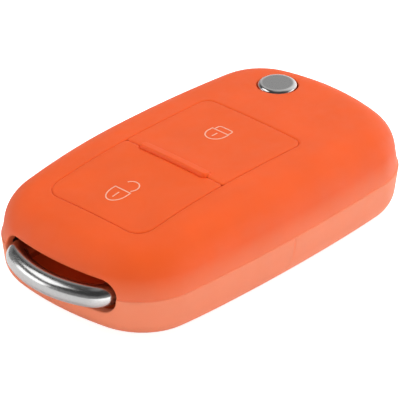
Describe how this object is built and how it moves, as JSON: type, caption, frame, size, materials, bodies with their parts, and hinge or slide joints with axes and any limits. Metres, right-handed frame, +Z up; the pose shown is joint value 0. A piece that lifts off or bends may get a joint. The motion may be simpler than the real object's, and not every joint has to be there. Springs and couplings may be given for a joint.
{
  "type": "key fob cover",
  "caption": "Rounded silicone cover fitted on a folding car key, with moulded lock and unlock pads, a chrome blade release button, a key-ring bar and a swing-out blade.",
  "frame": {"origin": "middle of the cover's flat back, on the surface that the cover lies on", "axes": "+X along the cover from the key-ring end to the pivot end, +Y to the side that the blade swings out of, +Z up from the back to the pads"},
  "size_m": [0.0728, 0.0397, 0.0182],
  "materials": {
    "cover_silicone": "matte silicone",
    "case_plastic": "fine moulded grain",
    "key_rubber": "matte",
    "loop_chrome": "polished",
    "button_metal": "satin top with a polished rim",
    "blade_steel": "ground",
    "head_metal": "die cast, satin",
    "pin_steel": "plain",
    "board_green": "solder mask",
    "switch_metal": "stamped",
    "plunger_plastic": "moulded",
    "chip_plastic": "moulded",
    "cell_steel": "stamped",
    "contact_metal": "plated sheet",
    "capsule_plastic": "potted"
  },
  "bodies": {
    "fob": {"cover_shell": "cover_silicone", "upper_case": "case_plastic", "lower_case": "case_plastic", "circuit_board": "board_green", "lock_switch": "switch_metal", "unlock_switch": "switch_metal", "board_chips": "chip_plastic", "battery": "cell_steel", "positive_contact": "contact_metal", "negative_contact": "contact_metal", "transponder": "capsule_plastic", "pivot_pin": "pin_steel", "pivot_screw": "pin_steel", "flip_spring": "pin_steel", "key_loop": "loop_chrome"},
    "blade": {"key_blade": "blade_steel", "blade_hub": "head_metal", "roll_pin": "pin_steel"},
    "release_button": {"release_button": "button_metal"},
    "lock_button": {"lock_pad": "cover_silicone", "lock_key": "key_rubber", "lock_plunger": "plunger_plastic"},
    "unlock_button": {"unlock_pad": "cover_silicone", "unlock_key": "key_rubber", "unlock_plunger": "plunger_plastic"}
  },
  "joints": [
    {"name": "blade_flip", "type": "hinge", "parent": "fob", "child": "blade", "pos_m": [0.0245, 0.00595, 0.008], "axis": [0, 0, -1], "range_deg": [0, 180]},
    {"name": "release_press", "type": "slide", "parent": "fob", "child": "release_button", "axis": [0, 0, -1], "range_m": [0, 0.0015], "stiffness_N_per_m": 600, "springref_m": -0.002, "deforming": ["flip_spring"]},
    {"name": "lock_press", "type": "slide", "parent": "fob", "child": "lock_button", "axis": [0, 0, -1], "range_m": [0, 0.0004], "stiffness_N_per_m": 4000, "springref_m": -0.0002},
    {"name": "unlock_press", "type": "slide", "parent": "fob", "child": "unlock_button", "axis": [0, 0, -1], "range_m": [0, 0.0004], "stiffness_N_per_m": 4000, "springref_m": -0.0002}
  ]
}
